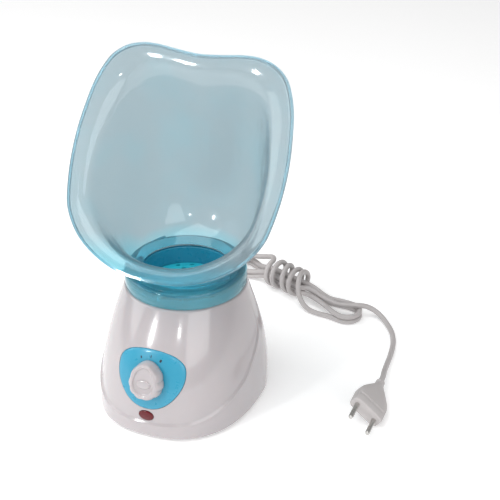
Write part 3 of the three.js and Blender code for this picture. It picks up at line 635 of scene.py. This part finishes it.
# ---- cord, strain relief and plug ----
HANK_WAY = Vector((math.cos(HANK_ANGLE), math.sin(HANK_ANGLE), 0))
HANK_SIDE = Vector((-math.sin(HANK_ANGLE), math.cos(HANK_ANGLE), 0))
FLOOR = CORD_RADIUS + 0.0001
FOLD_RADIUS = 0.0123
FOLD_RIGHT, FOLD_LEFT = -0.0065, -0.1393
LAYER = 2 * CORD_RADIUS + 0.0001
CORD_POINTS = 900
WRAP_START, WRAP_HALF_WIDTH, WRAP_HALF_HEIGHT = -0.0985, 0.0125, 0.0118
WRAP_TURNS, WRAP_PITCH, PAIR_GAP = 4, 0.0075, 0.0060
SLEEVE_END = 0.015          # how far the strain relief reaches behind the base


def beside_hank(along, across, height):
    """A point by its place along the hank from its right end, and across it."""
    return Vector((*HANK_PLACE, height)) + HANK_WAY * along + HANK_SIDE * across


def pinch(along):
    """1 inside the wraps, where the bundle lies on the wraps' undersides; 0 away from them."""
    return smoothstep(along, -0.126, -0.102) * (1 - smoothstep(along, -0.060, -0.030))


def half_gap(along):
    """How far a run lies from the hank's middle: least in the wraps, most at the folds."""
    width = 0.0050 + 0.0006 * smoothstep(along, -0.062, -0.045)
    flare = max(smoothstep(along, -0.036, FOLD_RIGHT), 1 - smoothstep(along, FOLD_LEFT, -0.108))
    return width + (FOLD_RADIUS - width) * flare


def run_point(along, side, level):
    """A point of a straight run, side being -1 for the near one and 1 for the far one."""
    height = FLOOR + LAYER * level + (LAYER + 0.0008) * pinch(along)
    return beside_hank(along, side * half_gap(along), height)


def run(start, end, side, level, end_level):
    """A straight run that climbs from one layer to another on the right of the wraps."""
    steps = 16
    points = []
    for k in range(steps + 1):
        along = start + (end - start) * k / steps
        climbed = level + (end_level - level) * smoothstep(along, -0.062, -0.040)
        points.append(run_point(along, side, climbed))
    return points


def fold(centre, start_degrees, end_degrees, level):
    """The turn at an end of the hank, without its first and last points."""
    steps = 10
    points = []
    for k in range(1, steps):
        turn = math.radians(start_degrees + (end_degrees - start_degrees) * k / steps)
        along = centre + FOLD_RADIUS * math.cos(turn)
        points.append(beside_hank(along, FOLD_RADIUS * math.sin(turn), FLOOR + LAYER * level))
    return points


def wraps():
    """Turns round the bundle, in two pairs, from its top over the near side."""
    steps = 14
    points = []
    for k in range(WRAP_TURNS * steps + 1):
        turns = k / steps
        along = WRAP_START + WRAP_PITCH * turns + PAIR_GAP * smoothstep(turns, 1.6, 2.4)
        turn = math.tau * turns
        height = FLOOR + WRAP_HALF_HEIGHT * (1 + math.cos(turn))
        points.append(beside_hank(along, -WRAP_HALF_WIDTH * math.sin(turn), height))
    return points


def cord_route():
    """From the base over the hank's left end, four turns round it, its runs, and off to the plug."""
    lead = [
        (0, 0.060, CORD_EXIT_Z), (0, 0.072, CORD_EXIT_Z), (-0.002, 0.086, 0.010), (-0.007, 0.100, 0.0055),
        (-0.014, 0.113, 0.0032), (-0.024, 0.128, FLOOR), (-0.038, 0.146, FLOOR),
    ]
    arrival = [beside_hank(*p) for p in [
        (-0.154, -0.040, FLOOR), (-0.167, -0.035, FLOOR), (-0.1735, -0.023, 0.0036),
        (-0.171, -0.010, 0.0072), (-0.162, -0.002, 0.0110), (-0.151, 0.0030, 0.0132),
        (-0.138, 0.0068, 0.0145), (-0.126, 0.0095, 0.0165), (-0.1155, 0.0100, 0.0200),
        (-0.1075, 0.0082, 0.0236), (-0.1017, 0.0046, 0.0256),
    ]]
    loose = [beside_hank(*p) for p in [
        (-0.0585, -0.0085, 0.0245), (-0.0545, -0.0142, 0.0180), (-0.0485, -0.0172, 0.0095),
        (-0.0400, -0.0180, 0.0040), (-0.0300, -0.0168, FLOOR), (-0.0190, -0.0140, FLOOR),
    ]]
    hank = [
        *fold(FOLD_RIGHT, -100, 90, 0), *run(FOLD_RIGHT, FOLD_LEFT, 1, 0, 0), *fold(FOLD_LEFT, 90, 270, 0),
        *run(FOLD_LEFT, FOLD_RIGHT, -1, 0, 1), *fold(FOLD_RIGHT, -90, 90, 1),
        *run(FOLD_RIGHT, FOLD_LEFT, 1, 1, 1), *fold(FOLD_LEFT, 90, 270, 1),
    ]
    top_places = (-0.135, -0.130, -0.118, -0.106, -0.094, -0.082, -0.070, -0.060)
    top_run = [run_point(along, -1, 1) for along in top_places]
    leaving = [beside_hank(*p) for p in [
        (-0.050, -0.0022, 0.0145), (-0.038, -0.0006, 0.0112), (-0.026, -0.0004, 0.0098),
        (-0.015, 0.0000, 0.0104), (-0.006, 0.0030, 0.0120), (0.0007, 0.0080, 0.0122),
    ]]
    tail = [
        (0.1146, 0.1562, 0.0104), (0.123, 0.1566, 0.007), (0.1313, 0.152, 0.004), (0.1386, 0.1439, FLOOR),
        (0.1446, 0.1344, FLOOR), (0.149, 0.1236, FLOOR), (0.1515, 0.114, FLOOR), (0.1533, 0.1029, 0.0035),
        (0.1549, 0.0901, 0.005), (0.1562, 0.0767, 0.007), (0.158, 0.0616, 0.0102), (0.1598, 0.051, 0.0126),
        (0.1605, 0.045, 0.0133), PLUG_NECK,
    ]
    points = [*lead, *arrival, *wraps(), *loose, *hank, *top_run, *leaving, *tail]
    return [Vector(p) + Vector((0, CENTRE_Y, 0)) for p in points]


def mains_cord():
    data = bpy.data.curves.new("mains_cord", "CURVE")
    data.dimensions = "3D"
    data.bevel_depth = CORD_RADIUS
    data.bevel_resolution = 5
    data.use_fill_caps = True
    route = spline(cord_route(), CORD_POINTS)
    line = data.splines.new("POLY")
    line.points.add(len(route) - 1)
    for point, place in zip(line.points, route):
        point.co = (*place, 1)
    line.use_smooth = True
    cord = bpy.data.objects.new("mains_cord", data)
    bpy.context.scene.collection.objects.link(cord)
    return cord


def strain_relief():
    """A tapered sleeve with ribs, on the cord where it leaves the base."""
    bore = 0.0028
    profile = [
        (bore, -0.008), (0.0064, -0.008), (0.0064, -0.006), (0.0050, -0.006),
        (0.0050, 0.0004), (0.0062, 0.0004), (0.0062, 0.0022),
    ]
    ribs, pitch, groove = 5, 0.0024, 0.0006
    for k in range(ribs):
        start = 0.0032 + pitch * k
        radius = 0.0050 - 0.0011 * k / ribs
        rib = [(groove, 0), (0, 0.0004), (0, 0.0013), (groove, 0.0017)]
        profile += [(radius - inward, start + onward) for inward, onward in rib]
    profile += [(0.0036, SLEEVE_END), (bore, SLEEVE_END)]
    sleeve = turned("cord_sleeve", profile, 64, 30)
    lay = Matrix.Translation((0, CORD_EXIT_Y, CORD_EXIT_Z)) @ Matrix.Rotation(-math.pi / 2, 4, "X")
    return placed_by(sleeve, lay)


def plug_frame():
    """Turns points made along +Z so that they run forward from the plug's neck."""
    place = Matrix.Translation(PLUG_NECK) @ Matrix.Rotation(math.pi / 2, 4, "X")
    return place @ Matrix.Rotation(PLUG_ROLL, 4, "Z")


def plug_section(half_width, half_depth, height, power, groove):
    """A rounded oblong: round at power 1, squarer below it, with a groove across its broad faces."""
    ring = []
    for c, s, _ in oval_ring(1, 1, 0):
        x = half_width * math.copysign(abs(c) ** power, c)
        y = half_depth * math.copysign(abs(s) ** power, s)
        ring.append((x, y - math.copysign(groove, s) * smoothstep(abs(s), 0.5, 0.9), height))
    return ring


def plug_body():
    """A ribbed neck that widens to an oblong front, with a grip groove behind the front edge."""
    wide, half, front = PLUG_WIDTH / 2, PLUG_THICKNESS / 2, PLUG_LENGTH
    square, groove = 0.42, 0.0009
    sections = [
        (0.0030, 0.0030, 0.0003, 1, 0), (0.0038, 0.0038, 0.0008, 1, 0),
        (0.0040, 0.0040, 0.0024, 1, 0), (0.0034, 0.0034, 0.0028, 1, 0),
        (0.0034, 0.0034, 0.0040, 1, 0), (0.0041, 0.0041, 0.0044, 1, 0),
        (0.0043, 0.0042, 0.0060, 1, 0), (0.0042, 0.0040, 0.0070, 1, 0),
        (0.0050, 0.0045, 0.0090, 0.8, 0), (0.0062, 0.0050, 0.0115, 0.65, 0),
        (0.0078, 0.0055, 0.0145, 0.55, 0), (0.0096, 0.0059, 0.0178, 0.50, 0),
        (0.0116, 0.0062, 0.0213, 0.46, 0), (0.0134, 0.0064, 0.0246, 0.44, 0),
        (wide - 0.0004, half - 0.0001, 0.0280, square, 0), (wide, half, 0.0305, square, 0),
        (wide, half, front - 0.0105, square, 0), (wide, half, front - 0.0098, square, groove),
        (wide, half, front - 0.0080, square, groove), (wide, half, front - 0.0073, square, 0),
        (wide, half, front - 0.0016, square, 0),
        (wide - 0.0004, half - 0.0004, front - 0.0006, square, 0),
        (wide - 0.0012, half - 0.0012, front - 0.0001, 0.44, 0),
        (wide - 0.0022, half - 0.0022, front, 0.46, 0),
    ]
    rings = [plug_section(*section) for section in sections]
    return placed_by(lofted("plug_shell", rings, 35), plug_frame())


def plug_pin(side):
    """A round pin with a rounded tip; side is -1 for the left one and 1 for the right one."""
    start = PLUG_LENGTH + 0.0003
    levels = [(0.0020, 0), (0.0020, 0.0168), (0.0018, 0.0178), (0.0014, 0.0186), (0.0008, 0.0190)]
    middle = (side * PIN_SPACING / 2, 0)
    rings = [oval_ring(radius, radius, start + height, 32, middle) for radius, height in levels]
    return placed_by(lofted("pin_left" if side < 0 else "pin_right", rings, 35), plug_frame())


# ---- materials ----
def new_material(name):
    """A material with its node tree's parts and its shader."""
    material = bpy.data.materials.new(name)
    material.use_nodes = True
    nodes = material.node_tree.nodes
    links = material.node_tree.links
    return material, nodes, links, nodes["Principled BSDF"]


def noise(nodes, links, scale, detail=3.0, roughness=0.55, stretch=(1, 1, 1)):
    """A noise texture in the object's own coordinates, in metres."""
    coordinates = nodes.new("ShaderNodeTexCoord")
    mapping = nodes.new("ShaderNodeMapping")
    mapping.inputs["Scale"].default_value = stretch
    texture = nodes.new("ShaderNodeTexNoise")
    texture.inputs["Scale"].default_value = scale
    texture.inputs["Detail"].default_value = detail
    texture.inputs["Roughness"].default_value = roughness
    links.new(coordinates.outputs["Object"], mapping.inputs["Vector"])
    links.new(mapping.outputs["Vector"], texture.inputs["Vector"])
    return texture.outputs["Fac"]


def spread_values(nodes, links, value, low, high, from_low=0.3, from_high=0.7):
    """value, remapped from its usual spread to low...high."""
    remap = nodes.new("ShaderNodeMapRange")
    remap.inputs["From Min"].default_value = from_low
    remap.inputs["From Max"].default_value = from_high
    remap.inputs["To Min"].default_value = low
    remap.inputs["To Max"].default_value = high
    links.new(value, remap.inputs["Value"])
    return remap.outputs["Result"]


MIX_A, MIX_B, MIX_RESULT = 6, 7, 2      # a Mix node's colour sockets, by number as their names repeat


def mixed(nodes, links, factor, first, second):
    """A colour between first and second; either may be a colour or another node's output."""
    mix = nodes.new("ShaderNodeMix")
    mix.data_type = "RGBA"
    links.new(factor, mix.inputs["Factor"])
    for socket, colour in ((mix.inputs[MIX_A], first), (mix.inputs[MIX_B], second)):
        if isinstance(colour, tuple):
            socket.default_value = (*colour, 1)
        else:
            links.new(colour, socket)
    return mix.outputs[MIX_RESULT]


def grain(nodes, links, shader, scale, depth):
    """A fine bump of that depth in metres."""
    bump = nodes.new("ShaderNodeBump")
    bump.inputs["Strength"].default_value = 1.0
    bump.inputs["Distance"].default_value = depth
    links.new(noise(nodes, links, scale, 4.0), bump.inputs["Height"])
    links.new(bump.outputs["Normal"], shader.inputs["Normal"])


def moulded(
    name, colour, shade, roughness,
    grain_scale=900, grain_depth=0.00002, specular=0.5, coat=0.0, scatter=0.0,
):
    """Moulded plastic: a slow drift of colour, uneven gloss and a fine grain."""
    material, nodes, links, shader = new_material(name)
    links.new(mixed(nodes, links, noise(nodes, links, 45), colour, shade), shader.inputs["Base Color"])
    gloss = spread_values(nodes, links, noise(nodes, links, 140), roughness * 0.8, roughness * 1.25)
    links.new(gloss, shader.inputs["Roughness"])
    shader.inputs["Specular IOR Level"].default_value = specular
    shader.inputs["Coat Weight"].default_value = coat
    shader.inputs["Coat Roughness"].default_value = 0.06
    shader.inputs["Subsurface Weight"].default_value = scatter
    shader.inputs["Subsurface Scale"].default_value = 0.004
    grain(nodes, links, shader, grain_scale, grain_depth)
    return material


def metal(name, colour, shade, roughness):
    """Machined or rolled metal: streaked gloss and a faint tarnish."""
    material, nodes, links, shader = new_material(name)
    links.new(mixed(nodes, links, noise(nodes, links, 120), colour, shade), shader.inputs["Base Color"])
    streaks = noise(nodes, links, 260, 4.0, 0.6, (1, 1, 12))
    gloss = spread_values(nodes, links, streaks, roughness * 0.7, roughness * 1.5)
    links.new(gloss, shader.inputs["Roughness"])
    shader.inputs["Metallic"].default_value = 1.0
    grain(nodes, links, shader, 1400, 0.00001)
    return material


def maths(nodes, links, operation, *values, clamp=False):
    """A Math node's result; a value is a number or another node's output."""
    node = nodes.new("ShaderNodeMath")
    node.operation = operation
    node.use_clamp = clamp
    for socket, value in zip(node.inputs, values):
        if isinstance(value, (int, float)):
            socket.default_value = value
        else:
            links.new(value, socket)
    return node.outputs[0]


def tinted(name, colour, foot_colour, roughness, lip_colour, low, high, weight):
    """Tinted clear plastic, bluer below and in front, and at its lip, with uneven frosting; away from the foot
    its colour is greyed, a painted shade for the dim light seen through the bowl.
    """
    material, nodes, links, shader = new_material(name)
    coordinates = nodes.new("ShaderNodeTexCoord")
    place = nodes.new("ShaderNodeSeparateXYZ")
    links.new(coordinates.outputs["Object"], place.inputs["Vector"])
    leaning = maths(nodes, links, "MULTIPLY_ADD", place.outputs["Y"], 0.5, place.outputs["Z"])
    below = spread_values(nodes, links, place.outputs["Z"], 1.0, 0.0, low, high)
    in_front = spread_values(nodes, links, leaning, 1.0, 0.0, low - 0.006, high + 0.014)
    foot = maths(nodes, links, "MAXIMUM", below, in_front)
    cloud = spread_values(nodes, links, noise(nodes, links, 16, 4.0), -0.12, 0.12)
    unshaded_share = maths(nodes, links, "ADD", foot, cloud, clamp=True)
    lip = nodes.new("ShaderNodeAttribute")
    lip.attribute_name = "lip"
    # Away from the foot the first colour shows: a greyed tint that is painted shade for the dim light behind
    # the bowl.
    body = mixed(nodes, links, unshaded_share, colour, foot_colour)
    links.new(mixed(nodes, links, lip.outputs["Fac"], body, lip_colour), shader.inputs["Base Color"])
    frost = noise(nodes, links, 60, 5.0)
    gloss = spread_values(nodes, links, frost, roughness * 0.8, roughness * 1.3)
    links.new(gloss, shader.inputs["Roughness"])
    shader.inputs["Transmission Weight"].default_value = weight
    shader.inputs["IOR"].default_value = 1.45
    grain(nodes, links, shader, 700, 0.000002)
    depth = nodes.new("ShaderNodeVolumeAbsorption")
    depth.inputs["Color"].default_value = (0.05, 0.80, 0.95, 1)
    depth.inputs["Density"].default_value = 90
    links.new(depth.outputs["Volume"], nodes["Material Output"].inputs["Volume"])
    return material


def glass(name, colour, shade, roughness, weight):
    """Clear or tinted moulding with a faint unevenness."""
    material, nodes, links, shader = new_material(name)
    links.new(mixed(nodes, links, noise(nodes, links, 200), colour, shade), shader.inputs["Base Color"])
    gloss = spread_values(nodes, links, noise(nodes, links, 300), roughness, roughness * 2)
    links.new(gloss, shader.inputs["Roughness"])
    shader.inputs["Transmission Weight"].default_value = weight
    shader.inputs["IOR"].default_value = 1.49
    grain(nodes, links, shader, 500, 0.00001)
    return material


# Each slot's way of making, its main colours, its roughness and what else it needs.
FINISHES = {
    "white_plastic": (moulded, (0.445, 0.410, 0.420), (0.410, 0.378, 0.390), 0.16, {
        "coat": 0.5, "scatter": 0.05,
    }),
    "panel_blue": (moulded, (0.030, 0.295, 0.445), (0.026, 0.275, 0.42), 0.30, {"coat": 0.25}),
    # The hood's first colour, greyer than its foot colour, is painted shade for the dim light seen through the
    # bowl.
    "hood_blue": (tinted, (0.51, 0.565, 0.595), (0.24, 0.70, 0.81), 0.09, {
        "lip_colour": (0.20, 0.52, 0.66), "low": 0.112, "high": 0.128, "weight": 0.80,
    }),
    "lid_teal": (moulded, (0.025, 0.58, 0.70), (0.022, 0.53, 0.65), 0.35, {}),
    "lens_red": (glass, (0.15, 0.001, 0.008), (0.11, 0.001, 0.005), 0.08, {"weight": 0.15}),
    "lamp_glass": (glass, (0.80, 0.80, 0.74), (0.72, 0.72, 0.66), 0.05, {"weight": 0.7}),
    "steel": (metal, (0.62, 0.61, 0.59), (0.50, 0.49, 0.47), 0.30, {}),
    "brass": (metal, (0.62, 0.46, 0.18), (0.50, 0.36, 0.13), 0.32, {}),
    "grey_plastic": (moulded, (0.28, 0.28, 0.28), (0.24, 0.24, 0.24), 0.55, {}),
    "black_plastic": (moulded, (0.020, 0.022, 0.035), (0.015, 0.016, 0.026), 0.45, {}),
    "foot_rubber": (moulded, (0.055, 0.055, 0.055), (0.040, 0.040, 0.040), 0.75, {
        "grain_scale": 500, "grain_depth": 0.00006, "specular": 0.3,
    }),
    "seal_silicone": (moulded, (0.70, 0.72, 0.72), (0.62, 0.65, 0.66), 0.55, {
        "grain_scale": 600, "grain_depth": 0.00003, "specular": 0.4,
    }),
    "cord_grey": (moulded, (0.50, 0.472, 0.468), (0.43, 0.405, 0.402), 0.42, {
        "grain_scale": 420, "grain_depth": 0.00007, "specular": 0.45,
    }),
    "wire_red": (moulded, (0.42, 0.02, 0.015), (0.34, 0.015, 0.01), 0.4, {}),
    "wire_blue": (moulded, (0.02, 0.07, 0.36), (0.015, 0.05, 0.28), 0.4, {}),
}


def make_materials():
    made = {}
    for name, (maker, colour, shade, roughness, extra) in FINISHES.items():
        made[name] = maker(name, colour, shade, roughness, **extra)
    return made


def dress(obj, slot, body, *nodes):
    """Gives a new piece the material of its slot and its body, and hides the CAD nodes that it stands for."""
    obj.data.materials.clear()
    obj.data.materials.append(MATERIALS[slot])
    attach(obj, body)
    if nodes:
        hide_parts(*nodes)
    return obj


def dress_cad_nodes():
    """Gives each CAD node the material of its slot in the record."""
    for part in frame["record"]["subparts"]:
        obj = frame["nodes"][part["node"]]
        for place in obj.material_slots:
            place.material = MATERIALS[part["material_slot"]]


# ---- stage: a plain pale floor and soft light ----
def add_floor():
    bpy.ops.mesh.primitive_plane_add(size=30, location=(0, 0, 0))
    floor = bpy.context.object
    floor.name = "floor"
    material, nodes, links, shader = new_material("floor")
    pale = mixed(nodes, links, noise(nodes, links, 3), (0.93, 0.93, 0.93), (0.91, 0.91, 0.91))
    links.new(pale, shader.inputs["Base Color"])
    shader.inputs["Roughness"].default_value = 0.8
    shader.inputs["Emission Color"].default_value = (1, 1, 1, 1)
    shader.inputs["Emission Strength"].default_value = 0.25
    floor.data.materials.append(material)


def add_softbox(name, place, aim_height, size, power):
    """A soft light that points at the hood's axis at that height."""
    data = bpy.data.lights.new(name, "AREA")
    data.shape = "RECTANGLE"
    data.size, data.size_y = size
    data.energy = power
    light = bpy.data.objects.new(name, data)
    light.location = place
    light.rotation_euler = (Vector((0, 0, aim_height)) - Vector(place)).to_track_quat("-Z", "Y").to_euler()
    bpy.context.scene.collection.objects.link(light)


# Name, place, height it points at, width and height, and power in watts.
SOFTBOXES = [
    ("left_box", (-1.20, -0.35, 0.85), 0.15, (1.0, 1.2), 7),
    ("window", (0.95, -0.86, 0.75), 0.15, (0.9, 0.9), 6),
    ("left_lamp", (-0.60, -1.15, 0.60), 0.10, (0.10, 0.22), 4),
    ("right_lamp", (0.33, -1.18, 0.72), 0.10, (0.06, 0.08), 1),
    ("overhead", (-0.3, -0.5, 1.9), 0.1, (1.6, 1.6), 22),
]


def add_light():
    world = bpy.data.worlds.new("studio")
    world.use_nodes = True
    background = world.node_tree.nodes["Background"]
    background.inputs["Color"].default_value = (1, 1, 1, 1)
    background.inputs["Strength"].default_value = 0.38
    bpy.context.scene.world = world
    bpy.context.scene.view_settings.view_transform = "Standard"
    for softbox in SOFTBOXES:
        add_softbox(*softbox)


# ---- the scene ----
add_camera()
MATERIALS = make_materials()
dress_cad_nodes()

cord = dress(mains_cord(), "cord_grey", "base", "cord_lead", "cord_hank", "cord_tail")
plug = dress(plug_body(), "cord_grey", "base", "plug_body")
sides = {"plug_pin_1": -1, "plug_pin_2": 1}
pins = [dress(plug_pin(side), "steel", "base", node) for node, side in sides.items()]

dress(strain_relief(), "cord_grey", "base", "strain_relief")
dress(base_housing(), "white_plastic", "base", "base_housing")
dress(control_panel(), "panel_blue", "base", "control_panel")
for name, degrees, half_width, half_height in (
    ("mark_low", -26, 0.0006, 0.0010), ("mark_middle", 0, 0.0004, 0.0012), ("mark_high", 26, 0.0009, 0.0012),
):
    dress(dial_mark(name, degrees, half_width, half_height), "black_plastic", "base")
dress(selector_knob(), "white_plastic", "knob", "selector_knob")
dress(knob_insert(), "white_plastic", "knob", "knob_insert")
dress(indicator_lens(), "lens_red", "base", "indicator_lens")
dress(water_vessel(), "panel_blue", "base", "water_vessel")
dress(chamber_lid(), "lid_teal", "lid", "chamber_lid")
dress(hood_seal(), "seal_silicone", "seal", "hood_seal")
dress(steam_hood(), "hood_blue", "hood", "steam_hood")

add_floor()
add_light()
